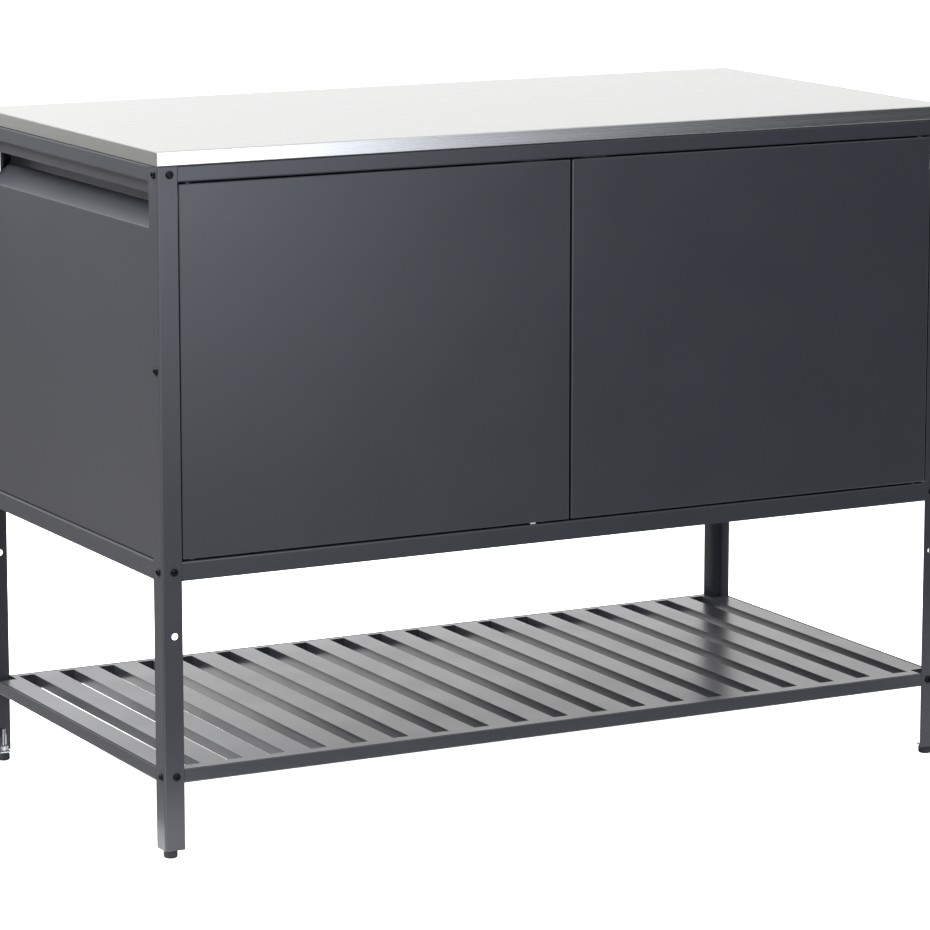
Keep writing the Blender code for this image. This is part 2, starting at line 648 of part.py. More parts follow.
# ---- shelf -----------------------------------------------------------------
def make_shelf():
    """Slatted shelf: one sheet, its edges and the sides of every slot folded down."""
    half_x = HALF_WIDTH - SHELF_INSET
    half_y = HALF_DEPTH - SHELF_INSET
    low = SHELF_BOTTOM + SHEET + CLEAR
    shelf = box_piece(
        "slatted_shelf", (-half_x, -half_y, low), (half_x, half_y, SHELF_TOP),
        "powder_coated_steel")
    slot_low = -HALF_DEPTH + SLOT_FRONT_MARGIN
    slot_high = HALF_DEPTH - SLOT_REAR_MARGIN
    slat = SLOT_PITCH - SLOT_WIDTH
    count = int((2 * half_x - 2 * SLOT_END_MARGIN + slat) / SLOT_PITCH)
    starts = [(index - (count - 1) / 2) * SLOT_PITCH - SLOT_WIDTH / 2 for index in range(count)]
    below = low - SHEET
    fold_low = SHELF_TOP - SLOT_FOLD_DEPTH
    under = SHELF_TOP - SHEET
    inner_x = half_x - SHEET
    inner_y = half_y - SHEET
    walls = [-inner_x - SHEET]
    for start in starts:
        walls += [start, start + SLOT_WIDTH]
    walls.append(inner_x + SHEET)
    hollows = [((left + SHEET, -inner_y, below), (right - SHEET, inner_y, under))
               for left, right in zip(walls[::2], walls[1::2])]
    combine(shelf, boxes_piece("slat_hollows", hollows), "DIFFERENCE")
    ends = [((-inner_x, -inner_y, below), (inner_x, slot_low, under)),
            ((-inner_x, slot_high, below), (inner_x, inner_y, under))]
    combine(shelf, boxes_piece("end_hollows", ends), "DIFFERENCE")
    slots = [((start, slot_low, below), (start + SLOT_WIDTH, slot_high, SHELF_TOP + SHEET))
             for start in starts]
    combine(shelf, boxes_piece("slots", slots), "DIFFERENCE")
    trims = ((-inner_x, -inner_y, below), (inner_x, inner_y, fold_low))
    combine(shelf, boxes_piece("fold_trim", [trims]), "DIFFERENCE")
    notch_x = HALF_WIDTH - POST_FLANGE
    notch_y = HALF_DEPTH - POST_FLANGE
    notches = []
    for sign_x, sign_y in CORNERS.values():
        xs = sorted((sign_x * notch_x, sign_x * HALF_WIDTH))
        ys = sorted((sign_y * notch_y, sign_y * HALF_DEPTH))
        notches.append(((xs[0], ys[0], below), (xs[1], ys[1], SHELF_TOP + SHEET)))
    combine(shelf, boxes_piece("corner_notches", notches), "DIFFERENCE")


# ---- feet ------------------------------------------------------------------
def make_foot(corner):
    """Levelling foot with its stud, its bracket in the post and its lock nut."""
    spot = (*from_corner(corner, FOOT_INSET, FOOT_INSET), 0)
    sole = FOOT_DIAMETER / 2
    stud = STUD_DIAMETER / 2
    outline = [(sole - FOOT_CHAMFER, 0), (sole, FOOT_CHAMFER), (sole, FOOT_HEIGHT),
               (stud, FOOT_HEIGHT), (stud, STUD_TOP)]
    turned(f"foot_{corner}", outline, "black_rubber", spot)

    plate = box_piece(f"foot_plate_{corner}", *bracket_box(
        corner, FOOT_PLATE_INSET, FOOT_PLATE_FAR, FOOT_PLATE_INSET, FOOT_PLATE_FAR,
        FOOT_PLATE_BOTTOM, FOOT_PLATE_TOP), "zinc_plated_steel")
    # The tabs lie against the post's flanges, and the plate stays clear of its fold.
    across = (BEHIND_POST, BEHIND_POST + FOOT_PLATE_TAB_SHEET)
    along = (FOOT_PLATE_INSET, FOOT_PLATE_FAR)
    low = FOOT_PLATE_BOTTOM + FOOT_PLATE_THICKNESS / 2
    for limits in ((*across, *along), (*along, *across)):
        tab = box_piece("tab", *bracket_box(corner, *limits, low, FOOT_PLATE_TAB_TOP))
        combine(plate, tab, "UNION")
    hole = STUD_DIAMETER + PLAY
    drill = drills("stud_drill", [((*spot[:2], low), "z", hole, 4 * FOOT_PLATE_THICKNESS)])
    combine(plate, drill, "DIFFERENCE")

    nut = bmesh.new()
    bmesh.ops.create_cone(
        nut, cap_ends=True, segments=6, depth=NUT_HEIGHT,
        radius1=NUT_RADIUS, radius2=NUT_RADIUS,
        matrix=Matrix.Translation((0, 0, FOOT_PLATE_TOP + CLEAR + NUT_HEIGHT / 2)))
    nut = add_piece(f"lock_nut_{corner}", nut, "zinc_plated_steel", location=spot)
    middle = FOOT_PLATE_TOP + NUT_HEIGHT / 2
    drill = drills("nut_drill", [((0, 0, middle), "z", hole, 2 * NUT_HEIGHT)], location=spot)
    combine(nut, drill, "DIFFERENCE")


def bracket_box(corner, near_x, far_x, near_y, far_y, low, high):
    """Box at a corner of the bench, given by its insets from the outer faces."""
    first = from_corner(corner, near_x, near_y)
    second = from_corner(corner, far_x, far_y)
    lows = [min(pair) for pair in zip(first, second)]
    highs = [max(pair) for pair in zip(first, second)]
    return (*lows, low), (*highs, high)


def main():
    """Build the whole bench."""
    clear_scene()
    make_worktop()
    make_worktop_stiffeners()
    make_posts()
    make_rails()
    make_side_panels()
    make_rear_panels()
    make_cabinet_floor()
    make_shelf()
    for hand, sign in HANDS.items():
        make_door(hand, sign)
        make_bushes(hand, sign)
        make_catch(hand, sign)
    make_glide()
    for corner in CORNERS:
        make_foot(corner)


main()
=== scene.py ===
"""Finish, fixings and studio for an outdoor work bench of folded sheet steel.

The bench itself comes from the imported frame.  This file gives every sheet its
finish, adds the screws, the moulded feet with their threaded studs and the
magnetic catches, and lights the bench in a plain white studio.
"""

import json
import math

import bmesh
import bpy
from bpy.props import FloatProperty, FloatVectorProperty, IntProperty, PointerProperty
from mathutils import Matrix, Vector


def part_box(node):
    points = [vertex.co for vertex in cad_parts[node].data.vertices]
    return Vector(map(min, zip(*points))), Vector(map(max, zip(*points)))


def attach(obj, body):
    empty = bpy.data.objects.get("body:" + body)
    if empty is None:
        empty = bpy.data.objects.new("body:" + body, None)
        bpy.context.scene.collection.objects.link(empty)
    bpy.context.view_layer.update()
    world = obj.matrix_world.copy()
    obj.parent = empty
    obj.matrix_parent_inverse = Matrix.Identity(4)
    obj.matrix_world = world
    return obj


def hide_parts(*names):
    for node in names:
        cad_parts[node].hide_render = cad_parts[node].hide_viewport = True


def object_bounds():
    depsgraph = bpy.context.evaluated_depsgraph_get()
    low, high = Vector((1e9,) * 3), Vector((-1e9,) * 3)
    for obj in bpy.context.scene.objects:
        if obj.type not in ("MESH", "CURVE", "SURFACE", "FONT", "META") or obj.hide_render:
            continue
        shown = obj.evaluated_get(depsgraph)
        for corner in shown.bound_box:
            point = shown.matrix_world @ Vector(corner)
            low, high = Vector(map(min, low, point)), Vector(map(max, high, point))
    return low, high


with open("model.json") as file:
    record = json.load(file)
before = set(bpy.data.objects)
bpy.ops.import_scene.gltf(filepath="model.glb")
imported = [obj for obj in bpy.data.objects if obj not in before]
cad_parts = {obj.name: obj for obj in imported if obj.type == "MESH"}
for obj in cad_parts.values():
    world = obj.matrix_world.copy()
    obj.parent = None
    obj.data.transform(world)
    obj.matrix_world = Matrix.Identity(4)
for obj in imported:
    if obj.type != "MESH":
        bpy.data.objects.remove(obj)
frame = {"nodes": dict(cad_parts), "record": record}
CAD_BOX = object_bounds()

bl_info = {
    "name": "Work bench finish",
    "version": (1, 0, 0),
    "blender": (4, 5, 0),
    "location": "3D Viewport > Sidebar > Bench",
    "description": "Finishes, fixings and studio for a sheet steel work bench",
    "category": "Object",
}

MM = 0.001
WELD_REACH = 0.01 * MM
SEAT_GAP = 0.3 * MM   # room left between pieces that bear on each other
EDGE_ANGLE = 50       # degrees; only edges sharper than this are rounded
CORNERS = {
    "front_left": (-1, -1),
    "front_right": (1, -1),
    "rear_left": (-1, 1),
    "rear_right": (1, 1),
}
HANDS = ("left", "right")
RAIL_LEVELS = ("top_rail_front", "cabinet_rail_front", "shelf_rail_front")


def linear(code):
    """Turn an sRGB hex colour such as "#2f3034" into linear red, green and blue."""
    parts = [int(code[place:place + 2], 16) / 255 for place in (1, 3, 5)]
    return tuple(part / 12.92 if part <= 0.04045 else ((part + 0.055) / 1.055) ** 2.4
                 for part in parts)


def colour(label, code, text):
    """Declare a colour that a user can change."""
    return FloatVectorProperty(
        name=label, description=text, subtype="COLOR", size=3, min=0.0, max=1.0,
        default=linear(code))


def length(label, millimetres, text):
    """Declare a length that a user can change."""
    return FloatProperty(
        name=label, description=text, unit="LENGTH", subtype="DISTANCE", min=0.0,
        precision=5, default=millimetres * MM)


# ---- settings --------------------------------------------------------------
class BenchFinish(bpy.types.PropertyGroup):
    """Colours of the finishes and the sizes of their texture."""

    coat: colour("Powder coat", "#303136", "Charcoal of the powder-coated sheet")
    stainless: colour("Stainless", "#cbcbca", "Reflection colour of the worktop")
    zinc: colour("Zinc", "#c6c9cb", "Reflection colour of plated small parts")
    screw: colour("Screws", "#1f1f21", "Blackened steel of the screw heads")
    rubber: colour("Feet", "#17171a", "Moulded rubber of the feet")
    nylon: colour("White nylon", "#e6e5df", "Glide and catches")
    dark_nylon: colour("Black nylon", "#1b1b1d", "Bushes of the doors")
    coat_peel: length("Coat texture", 3.2, "Spacing of the powder coat's fine ripple")
    brush_line: length("Brush lines", 0.7, "Spacing of the worktop's brushing lines")
    brush_stroke: length("Brush strokes", 260, "Length of one brushing stroke")
    rubber_grain: length("Rubber grain", 0.8, "Spacing of the grain on the feet")


class BenchFixings(bpy.types.PropertyGroup):
    """Sizes of the screws, feet and catches."""

    head_diameter: length("Head diameter", 10.5, "Diameter of a screw's button head")
    head_height: length("Head height", 3.0, "Height of a screw's button head")
    socket: length("Socket", 4.0, "Hexagon socket, across flats")
    socket_depth: length("Socket depth", 1.8, "Depth of the hexagon socket")
    shank: length("Shank diameter", 6.0, "Diameter of a screw's shank")
    shank_length: length("Shank length", 11.0, "Length of a screw under its head")
    front_inset: length("Front screw inset", 17.0, "Front screws from the bench's end")
    side_inset: length("Side screw inset", 11.0, "Side screws from the bench's face")
    side_drop: length("Side screw drop", 282.0, "Middle side screw below the worktop")
    thread_pitch: length("Thread pitch", 1.25, "Pitch of the feet's threaded studs")
    thread_depth: length("Thread depth", 0.6, "Depth of the feet's thread")
    edge_round: length("Edge rounding", 0.35, "Rounding of cut sheet edges")
    sides: IntProperty(
        name="Sides", description="Facets round a screw or a foot", default=36, min=12)


class BenchStudio(bpy.types.PropertyGroup):
    """Camera, lights and floor."""

    camera: FloatVectorProperty(
        name="Camera", description="Place of the camera", subtype="TRANSLATION",
        unit="LENGTH", size=3, default=(-2.878, -5.427, 1.581))
    heading: FloatProperty(
        name="Heading", description="Turn of the view to the right of +Y",
        subtype="ANGLE", default=math.radians(27.93))
    tilt: FloatProperty(
        name="Tilt", description="Slope of the view below the horizon",
        subtype="ANGLE", default=math.radians(10.70))
    lens: FloatProperty(
        name="Lens", description="Focal length in millimetres", unit="CAMERA",
        default=172.5)
    floor: colour("Floor", "#f7f7f6", "Pale floor")
    floor_glow: FloatProperty(
        name="Floor glow", description="White added to the floor where the camera sees it",
        default=1.0, min=0.0)
    sky: FloatProperty(
        name="Surround", description="Strength of the white surround", default=1.0,
        min=0.0)
    front_light: FloatProperty(
        name="Front light", description="Power of the softbox before the doors",
        unit="POWER", default=52.0, min=0.0)
    front_colour: colour("Front light colour", "#e6edff", "Cool white of the softbox")
    top_light: FloatProperty(
        name="Top light", description="Power of the softbox above and left of the bench",
        unit="POWER", default=300.0, min=0.0)
    rear_light: FloatProperty(
        name="Rear light", description="Power of the low softbox behind the bench",
        unit="POWER", default=30.0, min=0.0)


# ---- materials -------------------------------------------------------------
def add_node(tree, kind, inputs=None, **settings):
    """Add a node; an input is a value, or a socket that it is linked to."""
    node = tree.nodes.new(kind)
    for name, value in settings.items():
        setattr(node, name, value)
    for name, value in (inputs or {}).items():
        if isinstance(value, bpy.types.NodeSocket):
            tree.links.new(value, node.inputs[name])
        else:
            node.inputs[name].default_value = value
    return node


def new_material(name, base, roughness, metallic=0.0, **sockets):
    """Make a material and return it with its node tree and its shader."""
    material = bpy.data.materials.new(name)
    material.use_nodes = True
    tree = material.node_tree
    shader = tree.nodes["Principled BSDF"]
    shader.inputs["Base Color"].default_value = (*base, 1.0)
    shader.inputs["Roughness"].default_value = roughness
    shader.inputs["Metallic"].default_value = metallic
    for socket, value in sockets.items():
        shader.inputs[socket.replace("_", " ")].default_value = value
    material.diffuse_color = (*base, 1.0)
    return material, tree, shader


def even(step):
    """The same spacing along X, Y and Z."""
    return (step, step, step)


def pattern(tree, spacing, detail):
    """Noise whose spots are a given distance apart along X, Y and Z, in metres."""
    place = add_node(tree, "ShaderNodeTexCoord")
    mapping = add_node(tree, "ShaderNodeMapping", {
        "Vector": place.outputs["Object"],
        "Scale": [1 / step for step in spacing]})
    noise = add_node(tree, "ShaderNodeTexNoise", {
        "Vector": mapping.outputs["Vector"], "Scale": 1.0, "Detail": detail})
    return noise.outputs["Fac"]


def between(tree, source, low, high):
    """Spread a noise over a range of values."""
    node = add_node(tree, "ShaderNodeMapRange", {
        "Value": source, "From Min": 0.3, "From Max": 0.7, "To Min": low, "To Max": high})
    return node.outputs["Result"]


def tinted(tree, source, base, low, high):
    """Vary a colour in brightness by a noise."""
    ramp = add_node(tree, "ShaderNodeMix", {
        "Factor": source,
        "A": (*[part * low for part in base], 1.0),
        "B": (*[part * high for part in base], 1.0)}, data_type="RGBA")
    return ramp.outputs["Result"]


def bumped(tree, shader, height, depth, strength):
    """Raise the surface by a height pattern of a given depth in metres."""
    bump = add_node(tree, "ShaderNodeBump", {
        "Height": height, "Distance": depth, "Strength": strength})
    tree.links.new(bump.outputs["Normal"], shader.inputs["Normal"])


def powder_coat(finish):
    """Powder-coated steel, satin: a fine ripple breaks up soft reflections."""
    base = tuple(finish.coat)
    material, tree, shader = new_material("powder_coated_steel_satin", base, 0.30)
    mottle = pattern(tree, even(450 * MM), 3.0)
    tree.links.new(tinted(tree, mottle, base, 0.93, 1.07), shader.inputs["Base Color"])
    # Gloss varies slowly over the sheet: finer spots would show as dark specks.
    gloss = pattern(tree, even(90 * MM), 1.0)
    tree.links.new(between(tree, gloss, 0.28, 0.32), shader.inputs["Roughness"])
    # The real ripple is about 1 mm; it is drawn coarser so that it can be seen.
    peel = pattern(tree, even(finish.coat_peel), 1.0)
    bumped(tree, shader, peel, 0.02 * MM, 0.2)
    return material


def brushed_stainless(finish):
    """Stainless steel, brushed along the length: long fine lines stretch glints."""
    base = tuple(finish.stainless)
    material, tree, shader = new_material("stainless_steel_brushed", base, 0.27, 1.0)
    # Real brushing is finer than 0.1 mm; it is drawn coarser so that it can be seen.
    line = finish.brush_line
    strokes = pattern(tree, (finish.brush_stroke, line, line), 4.0)
    tree.links.new(tinted(tree, strokes, base, 0.95, 1.0), shader.inputs["Base Color"])
    tree.links.new(between(tree, strokes, 0.26, 0.30), shader.inputs["Roughness"])
    return material


def zinc_plate(finish):
    """Bright zinc-plated steel: a slightly cloudy, cool metal."""
    base = tuple(finish.zinc)
    material, tree, shader = new_material("steel_zinc_plated", base, 0.34, 1.0)
    cloud = pattern(tree, even(9 * MM), 3.0)
    tree.links.new(tinted(tree, cloud, base, 0.84, 1.0), shader.inputs["Base Color"])
    tree.links.new(between(tree, cloud, 0.27, 0.42), shader.inputs["Roughness"])
    bumped(tree, shader, cloud, 0.02 * MM, 0.2)
    return material


def blackened_steel(finish):
    """Steel screws, blackened and oiled: dark metal that still gives a glint."""
    base = tuple(finish.screw)
    material, tree, shader = new_material("steel_blackened", base, 0.32, 1.0)
    patches = pattern(tree, even(3 * MM), 3.0)
    tree.links.new(tinted(tree, patches, base, 0.75, 1.15), shader.inputs["Base Color"])
    tree.links.new(between(tree, patches, 0.26, 0.40), shader.inputs["Roughness"])
    return material


def moulded_rubber(finish):
    """Moulded rubber: matte, with the fine grain of the mould."""
    base = tuple(finish.rubber)
    material, tree, shader = new_material("rubber_moulded", base, 0.72)
    spots = pattern(tree, even(finish.rubber_grain), 2.0)
    tree.links.new(tinted(tree, spots, base, 0.85, 1.2), shader.inputs["Base Color"])
    bumped(tree, shader, spots, 0.05 * MM, 0.5)
    return material


def moulded_nylon(name, base, glow_through):
    """Moulded nylon, slightly waxy: light goes some way into the pale kind."""
    material, tree, shader = new_material(
        name, base, 0.42, IOR=1.53, Subsurface_Weight=glow_through,
        Subsurface_Scale=2 * MM)
    cloud = pattern(tree, even(6 * MM), 2.0)
    tree.links.new(tinted(tree, cloud, base, 0.95, 1.0), shader.inputs["Base Color"])
    bumped(tree, shader, pattern(tree, even(1.2 * MM), 1.0), 0.02 * MM, 0.3)
    return material


def white_nylon(finish):
    """Natural nylon, as moulded."""
    return moulded_nylon("nylon_moulded_white", tuple(finish.nylon), 0.12)


def black_nylon(finish):
    """Nylon dyed black before moulding."""
    return moulded_nylon("nylon_moulded_black", tuple(finish.dark_nylon), 0.0)


MAKERS = {
    "brushed_stainless": brushed_stainless,
    "black_powder_coat": powder_coat,
    "zinc_plate": zinc_plate,
    "black_rubber": moulded_rubber,
    "white_nylon": white_nylon,
    "black_nylon": black_nylon,
    "blackened_steel": blackened_steel,
}
MADE = {}


def material_for(name):
    """Make a finish the first time it is asked for, and share it after that."""
    if name not in MADE:
        MADE[name] = MAKERS[name](bpy.context.scene.bench_finish)
    return MADE[name]


def finish_nodes(slot):
    """Give every packed sheet of one finish its material, and round its cut edges."""
    names = [part["node"] for part in frame["record"]["subparts"]
             if part["material_slot"] == slot]
    for name in names:
        node = frame["nodes"][name]
        node.data.materials.clear()
        node.data.materials.append(material_for(slot))
        weld = node.modifiers.new("weld", "WELD")
        weld.merge_threshold = WELD_REACH
        bevel = node.modifiers.new("edges", "BEVEL")
        bevel.width = bpy.context.scene.bench_fixings.edge_round
        bevel.segments = 2
        bevel.limit_method = "ANGLE"
        bevel.angle_limit = math.radians(EDGE_ANGLE)
    return names


# ---- shapes ----------------------------------------------------------------
def piece_from(name, shape, material, body, replaced=(), smooth=35):
    """Turn a bmesh into a piece that rides on a body."""
    bmesh.ops.recalc_face_normals(shape, faces=shape.faces)
    mesh = bpy.data.meshes.new(name)
    shape.to_mesh(mesh)
    shape.free()
    mesh.materials.append(material)
    mesh.shade_smooth()
    mesh.set_sharp_from_angle(angle=math.radians(smooth))
    piece = bpy.data.objects.new(name, mesh)
    bpy.context.scene.collection.objects.link(piece)
    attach(piece, body)
    if replaced:
        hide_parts(*replaced)


def lathe(shape, rings, place, sides):
    """Join rings into a closed body; a ring is a function of angle and a height."""
    rows = []
    for radius, height in rings:
        row = []
        for step in range(sides):
            angle = 2 * math.pi * step / sides
            reach = radius(angle) if callable(radius) else radius
            point = Vector((reach * math.cos(angle), reach * math.sin(angle), height))
            row.append(shape.verts.new(place @ point))
        rows.append(row)
    for lower, upper in zip(rows, rows[1:]):
        for step in range(sides):
            after = (step + 1) % sides
            shape.faces.new((lower[step], lower[after], upper[after], upper[step]))
    shape.faces.new(rows[0])
    shape.faces.new(rows[-1])


def arc(centre, radius, start, end, steps):
    """Points of an arc in (radius, height), its angles in degrees."""
    angles = [math.radians(start + (end - start) * step / steps)
              for step in range(steps + 1)]
    return [(centre[0] + radius * math.cos(angle), centre[1] + radius * math.sin(angle))
            for angle in angles]


def hexagon(across):
    """Radius of a hexagon, by angle, from its size across flats."""
    return lambda angle: across / 2 / math.cos((angle % (math.pi / 3)) - math.pi / 6)


def add_screw(shape, place, fixings):
    """Button-head screw with a hexagon socket; its head stands along local +Z."""
    head = fixings.head_diameter / 2
    height = fixings.head_height
    shank = fixings.shank / 2
    point = 0.6 * MM                        # chamfer at the end of the shank
    rim = 0.5 * MM                          # upright edge under the dome
    crown = 0.62 * head                     # radius of the dome's flat top
    steps = 7
    turns = [math.pi / 2 * step / steps for step in range(steps + 1)]
    dome = [(crown + (head - crown) * math.cos(turn), rim + (height - rim) * math.sin(turn))
            for turn in turns]
    socket = hexagon(fixings.socket)
    mouth = 1.28 * fixings.socket / 2       # countersink round the socket
    mouth_depth = 0.25 * MM
    rings = [(shank - point, -fixings.shank_length),
             (shank, -fixings.shank_length + point),
             (shank, 0.0), (head, 0.0), *dome,
             (mouth, height), (socket, height - mouth_depth),
             (socket, height - fixings.socket_depth)]
    lathe(shape, rings, place, fixings.sides)


# ---- fixings ---------------------------------------------------------------
def screw_places(corner, fixings):
    """Where the screws of one post sit, as matrices whose Z axis leaves the bench."""
    sign_x, sign_y = CORNERS[corner]
    low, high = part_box(f"post_{corner}")
    face_x = high.x if sign_x > 0 else low.x
    face_y = high.y if sign_y > 0 else low.y
    levels = [sum(end.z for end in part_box(rail)) / 2 for rail in RAIL_LEVELS]
    side_level = CAD_BOX[1].z - fixings.side_drop
    front_x = face_x - sign_x * fixings.front_inset
    side_y = face_y - sign_y * fixings.side_inset
    to_front = Vector((0, sign_y, 0)).to_track_quat("Z", "Y").to_matrix().to_4x4()
    to_side = Vector((sign_x, 0, 0)).to_track_quat("Z", "Y").to_matrix().to_4x4()
    places = [Matrix.Translation((front_x, face_y, level)) @ to_front for level in levels]
    places += [Matrix.Translation((face_x, side_y, level)) @ to_side
               for level in (*levels, side_level)]
    return places


def threaded(fixings, radius):
    """Radius of a thread by angle and height: a helix of V-shaped ridges."""
    def at_height(height):
        def at_angle(angle):
            turns = height / fixings.thread_pitch - angle / (2 * math.pi)
            ridge = abs(2 * (turns % 1.0) - 1)
            return radius - fixings.thread_depth * (1 - ridge)
        return at_angle
    return at_height


def add_foot(shape, place, radius, top, sides):
    """Moulded foot: flat sole, rounded lower edge, a waist and a rounded top."""
    round_under = 3.0 * MM
    dish = 0.3 * MM                         # depth of the hollow in the sole
    waist = 0.5 * MM
    shoulder = 0.9 * MM
    sole = radius - round_under
    rings = [(0.6 * sole, dish), (0.72 * sole, 0.0), (sole, 0.0)]
    rings += arc((sole, round_under), round_under, -75, 0, 6)
    rings += [(radius, top - 2.6 * MM), (radius - waist, top - 2.2 * MM),
              (radius - waist, top - 1.8 * MM), (radius - shoulder + waist, top - 1.4 * MM)]
    rings += arc((radius - shoulder - waist, top - shoulder), shoulder, 20, 90, 4)
    lathe(shape, rings, place, sides)


def add_stud(shape, place, start, end, fixings):
    """Threaded stud between two heights; its lower end is sunk into the pad."""
    radius = 4.0 * MM                       # M8
    sunk = 0.5 * MM
    radius_at = threaded(fixings, radius)
    step = fixings.thread_pitch / 6         # six rings to each turn of the thread
    count = int((end - start) / step)
    heights = [start + step * index for index in range(count + 1)]
    rings = [(3.2 * MM, start - sunk)]
    rings += [(radius_at(height), height) for height in heights]
    rings += [(2.8 * MM, heights[-1] + 0.1 * MM)]
    lathe(shape, rings, place, fixings.sides)


def add_block(shape, low, high, edge):
    """Add a block with rounded edges between two corners."""
    low = Vector(low)
    high = Vector(high)
    place = Matrix.Translation((low + high) / 2) @ Matrix.Diagonal((*(high - low), 1.0))
    made = bmesh.ops.create_cube(shape, size=1.0, matrix=place)
    edges = {edge_of for vert in made["verts"] for edge_of in vert.link_edges}
    bmesh.ops.bevel(shape, geom=list(edges), offset=edge, segments=3, profile=0.5,
                    affect="EDGES")


# ---- steps -----------------------------------------------------------------
class BENCH_OT_steel(bpy.types.Operator):
    """Powder-coat the posts, rails, panels, doors and shelf"""

    bl_idname = "bench.steel"
    bl_label = "Powder-coated steel"

    def execute(self, context):
        if not finish_nodes("black_powder_coat"):
            raise RuntimeError("the frame has no powder-coated sheet")
        return {"FINISHED"}


class BENCH_OT_worktop(bpy.types.Operator):
    """Brush the stainless worktop"""

    bl_idname = "bench.worktop"
    bl_label = "Stainless worktop"

    def execute(self, context):
        if not finish_nodes("brushed_stainless"):
            raise RuntimeError("the frame has no stainless sheet")
        return {"FINISHED"}


class BENCH_OT_small_parts(bpy.types.Operator):
    """Plate the brackets, nuts, pins and stiffeners, and mould the bushes and the glide"""

    bl_idname = "bench.small_parts"
    bl_label = "Plated and moulded small parts"

    def execute(self, context):
        for slot in ("zinc_plate", "white_nylon", "black_nylon", "black_rubber"):
            if not finish_nodes(slot):
                raise RuntimeError(f"the frame has no part finished as {slot}")
        return {"FINISHED"}


class BENCH_OT_screws(bpy.types.Operator):
    """Put the button-head screws into the posts"""

    bl_idname = "bench.screws"
    bl_label = "Screws"

    def execute(self, context):
        fixings = context.scene.bench_fixings
        material = material_for("blackened_steel")
        for corner in CORNERS:
            shape = bmesh.new()
            for place in screw_places(corner, fixings):
                add_screw(shape, place, fixings)
            # The record has no slot for screws; they get a blackened steel finish of their
            # own and no slot.
            piece_from(f"screws_{corner}", shape, material, "frame")
        return {"FINISHED"}


class BENCH_OT_feet(bpy.types.Operator):
    """Make the moulded feet and their threaded studs"""

    bl_idname = "bench.feet"
    bl_label = "Levelling feet"

    def execute(self, context):
        fixings = context.scene.bench_fixings
        for corner in CORNERS:
            node = f"foot_{corner}"
            body = f"levelling_foot_{corner}"
            low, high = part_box(node)
            middle = (low + high) / 2
            place = Matrix.Translation((middle.x, middle.y, low.z))
            radius = (high.x - low.x) / 2
            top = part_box(f"foot_plate_{corner}")[0].z - low.z - SEAT_GAP
            shape = bmesh.new()
            add_foot(shape, place, radius, top, fixings.sides)
            piece_from(f"foot_pad_{corner}", shape, material_for("black_rubber"), body,
                       [node])
            shape = bmesh.new()
            add_stud(shape, place, top, high.z - low.z, fixings)
            piece_from(f"foot_stud_{corner}", shape, material_for("zinc_plate"), body,
                       smooth=25)
        return {"FINISHED"}


class BENCH_OT_catches(bpy.types.Operator):
    """Make the magnetic catches under the top rail"""

    bl_idname = "bench.catches"
    bl_label = "Magnetic catches"

    def execute(self, context):
        for hand in HANDS:
            node = f"magnet_catch_{hand}"
            low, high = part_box(node)
            ear = 4 * MM                    # how far the flange stands out at each end
            flange = 3 * MM
            step = 1 * MM
            back = 0.4 * MM                 # the housing's face behind the node's
            shape = bmesh.new()
            add_block(shape, (low.x + ear, low.y + back, low.z),
                      (high.x - ear, high.y, high.z), 1.2 * MM)
            add_block(shape, (low.x, high.y - flange, low.z + step),
                      (high.x, high.y, high.z - step), 0.8 * MM)
            piece_from(f"catch_housing_{hand}", shape, material_for("white_nylon"), "frame",
                       [node])
            shape = bmesh.new()
            inset = 7 * MM
            thick = 1.4 * MM
            pole_back = 0.1 * MM            # so the poles stand proud of the housing
            for part in (0.30, 0.62):
                level = low.z + (high.z - low.z) * part
                add_block(shape, (low.x + inset, low.y + pole_back, level),
                          (high.x - inset, high.y - 4 * MM, level + thick), 0.2 * MM)
            piece_from(f"catch_poles_{hand}", shape, material_for("zinc_plate"), "frame")
        return {"FINISHED"}


# ---- studio ----------------------------------------------------------------
UP = (0, 0, 1)
WHITE = (1.0, 1.0, 1.0)
# Each hidden card: material, middle, size and the way it faces, in metres.
HIDDEN_CARDS = {
    "flag_right": ("cloth", (3.9, -3.3, 1.2), (5.2, 2.6), (0, 1, 0)),
    "flag_floor": ("cloth", (2.9, -2.1, 0.01), (4.2, 2.4), UP),
    "card_left": ("grey", (-4.2, 4.2, 0.012), (7.1, 9.0), UP),
    "card_front": ("grey", (-0.7, -1.9, 0.01), (3.0, 2.7), UP),
}


def stage_plane(name, centre, size, facing, material, hidden):
    """A flat card of the studio; a hidden one only shows in reflections."""
    shape = bmesh.new()
    turn = Vector(facing).to_track_quat("Z", "Y").to_matrix().to_4x4()
    scale = Matrix.Diagonal((size[0], size[1], 1.0, 1.0))
    bmesh.ops.create_grid(shape, x_segments=1, y_segments=1, size=0.5,
                          matrix=Matrix.Translation(centre) @ turn @ scale)
    mesh = bpy.data.meshes.new(name)
    shape.to_mesh(mesh)
    shape.free()
    mesh.materials.append(material)
    card = bpy.data.objects.new(name, mesh)
    bpy.context.scene.collection.objects.link(card)
    if hidden:
        card.visible_camera = False
        card.visible_shadow = False


def softbox(name, place, target, size, power, tint):
    """An area light that faces a point and is not seen itself."""
    light = bpy.data.lights.new(name, "AREA")
    light.shape = "RECTANGLE"
    light.size, light.size_y = size
    light.energy = power
    light.color = tint
    lamp = bpy.data.objects.new(name, light)
    bpy.context.scene.collection.objects.link(lamp)
    lamp.location = place
    away = Vector(place) - Vector(target)
    lamp.rotation_euler = away.to_track_quat("Z", "Y").to_euler()
    lamp.visible_camera = False


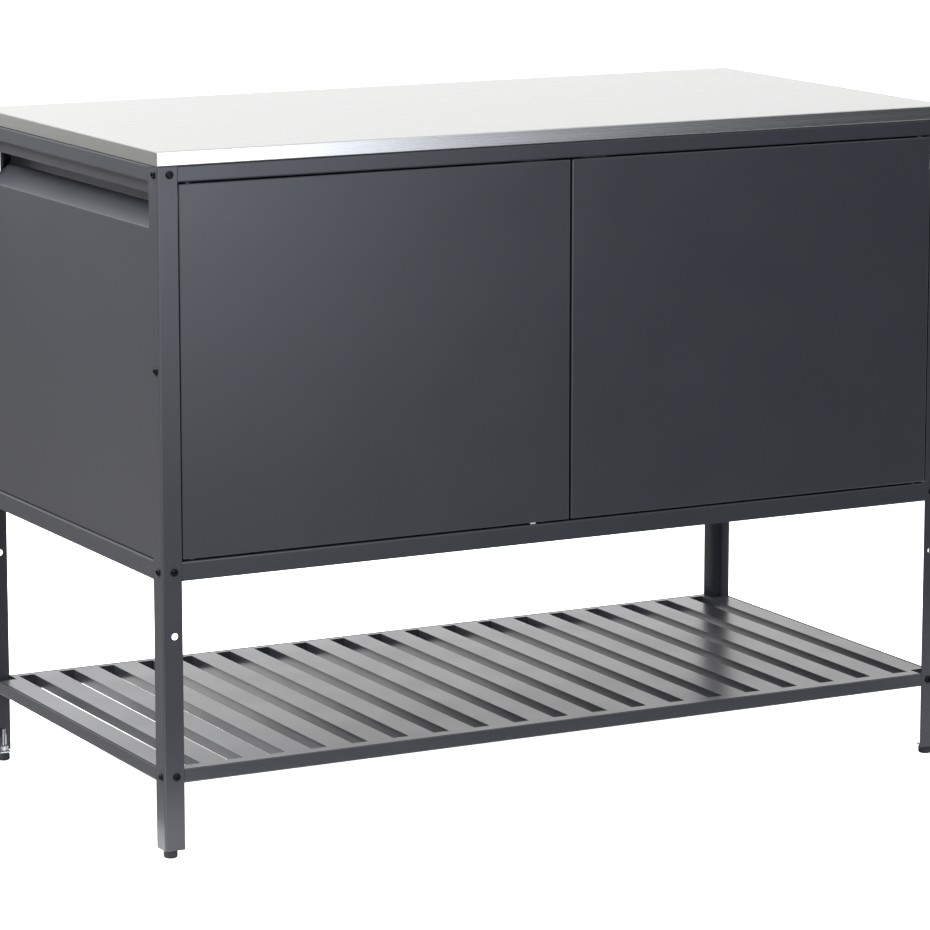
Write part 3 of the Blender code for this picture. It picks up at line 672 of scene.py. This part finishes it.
class BENCH_OT_studio(bpy.types.Operator):
    """Set up the white studio, its softboxes and the camera"""

    bl_idname = "bench.studio"
    bl_label = "Studio"

    def execute(self, context):
        scene = context.scene
        studio = scene.bench_studio
        scene.view_settings.view_transform = "Standard"
        world = bpy.data.worlds.new("white_surround")
        world.use_nodes = True
        surround = world.node_tree.nodes["Background"]
        surround.inputs["Color"].default_value = (*WHITE, 1.0)
        surround.inputs["Strength"].default_value = studio.sky
        scene.world = world

        paper, tree, shader = new_material("paper_sweep_matte", tuple(studio.floor), 0.9)
        shader.inputs["Emission Color"].default_value = (*WHITE, 1.0)
        seen = add_node(tree, "ShaderNodeLightPath").outputs["Is Camera Ray"]
        glow = add_node(tree, "ShaderNodeMath", {0: seen, 1: studio.floor_glow},
                        operation="MULTIPLY")
        tree.links.new(glow.outputs[0], shader.inputs["Emission Strength"])
        low = CAD_BOX[0].z
        stage_plane("floor", (0, 0, low), (60, 60), UP, paper, False)
        cards = {
            "cloth": new_material("black_flag_cloth", linear("#0a0a0b"), 0.95)[0],
            "grey": new_material("grey_card", linear("#5c5b5a"), 0.95)[0],
        }
        for name, (kind, middle, size, facing) in HIDDEN_CARDS.items():
            stage_plane(name, middle, size, facing, cards[kind], True)

        softbox("front_softbox", (-0.15, -3.3, 1.15), (-0.15, 0, 1.15), (2.3, 1.7),
                studio.front_light, tuple(studio.front_colour))
        softbox("top_softbox", (-2.0, 0.4, 3.2), (-0.5, 0, 0.6), (2.4, 2.4),
                studio.top_light, WHITE)
        softbox("rear_softbox", (2.1, 4.2, 0.72), (2.1, 0, 0.72), (6.0, 1.05),
                studio.rear_light, WHITE)

        lens = bpy.data.cameras.new("studio_camera")
        lens.lens = studio.lens
        lens.clip_end = 100
        camera = bpy.data.objects.new("studio_camera", lens)
        scene.collection.objects.link(camera)
        camera.location = studio.camera
        level = math.pi / 2 - studio.tilt
        camera.rotation_euler = (level, 0, -studio.heading)
        scene.camera = camera
        return {"FINISHED"}


class BENCH_PT_bench(bpy.types.Panel):
    """Settings and steps of the work bench"""

    bl_label = "Work bench"
    bl_space_type = "VIEW_3D"
    bl_region_type = "UI"
    bl_category = "Bench"

    def draw(self, context):
        layout = self.layout
        for operator in STEPS:
            layout.operator(operator.bl_idname)
        for group in GROUPS:
            settings = getattr(context.scene, group)
            box = layout.box()
            for name in settings.bl_rna.properties.keys():
                if name not in ("rna_type", "name"):
                    box.prop(settings, name)


GROUPS = {
    "bench_finish": BenchFinish,
    "bench_fixings": BenchFixings,
    "bench_studio": BenchStudio,
}
STEPS = (BENCH_OT_steel, BENCH_OT_worktop, BENCH_OT_small_parts, BENCH_OT_screws,
         BENCH_OT_feet, BENCH_OT_catches, BENCH_OT_studio)
CLASSES = (*GROUPS.values(), *STEPS, BENCH_PT_bench)


def register():
    """Register the classes and hang the settings on the scene."""
    for item in CLASSES:
        bpy.utils.register_class(item)
    for name, group in GROUPS.items():
        setattr(bpy.types.Scene, name, PointerProperty(type=group))


def unregister():
    """Undo register."""
    for name in GROUPS:
        delattr(bpy.types.Scene, name)
    for item in reversed(CLASSES):
        bpy.utils.unregister_class(item)


def main():
    """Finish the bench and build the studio."""
    register()
    bpy.ops.bench.steel()
    bpy.ops.bench.worktop()
    bpy.ops.bench.small_parts()
    bpy.ops.bench.screws()
    bpy.ops.bench.feet()
    bpy.ops.bench.catches()
    bpy.ops.bench.studio()


if __name__ == "__main__":
    main()
